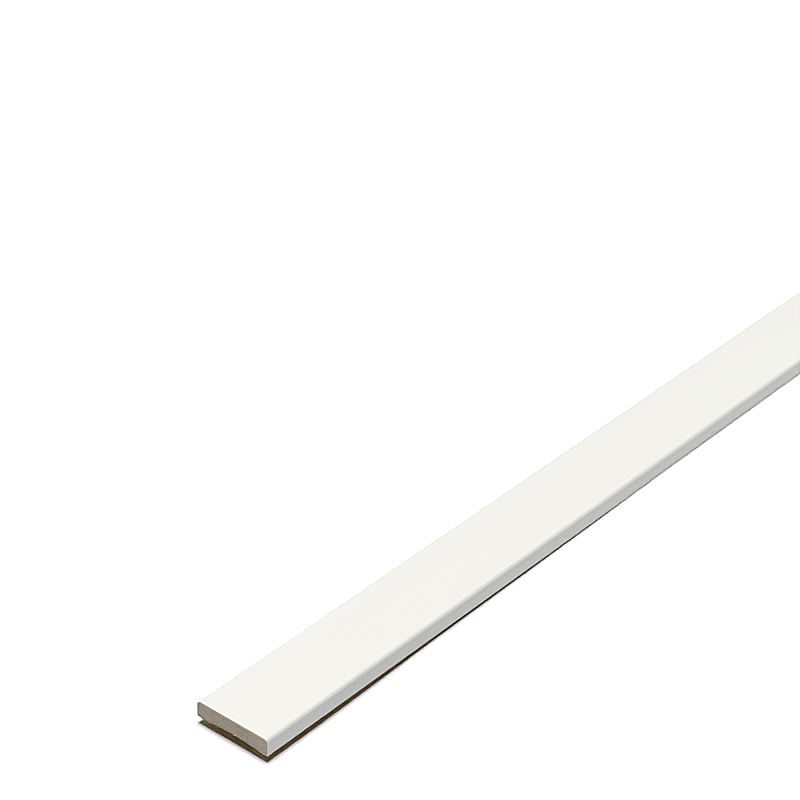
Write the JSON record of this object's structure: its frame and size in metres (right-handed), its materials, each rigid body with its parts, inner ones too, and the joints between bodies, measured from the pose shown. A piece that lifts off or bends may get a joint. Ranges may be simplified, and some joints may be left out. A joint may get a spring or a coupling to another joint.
{
  "type": "flat architrave moulding",
  "caption": "Straight flat architrave board of painted softwood, with rounded arrises on its face, a shallow hollow along its back and square sawn ends.",
  "frame": {"origin": "middle of the board's length and width, on the plane that the two lands of its back rest on", "axes": "+X along the board, +Y across it, +Z out of its face; the board lies on its back"},
  "size_m": [2.2, 0.056, 0.012],
  "materials": {
    "painted_softwood": "satin warm white factory paint on the face and edges, bare sawn ends and planed back"
  },
  "bodies": {
    "root": {"architrave_board": "painted_softwood"}
  },
  "joints": []
}
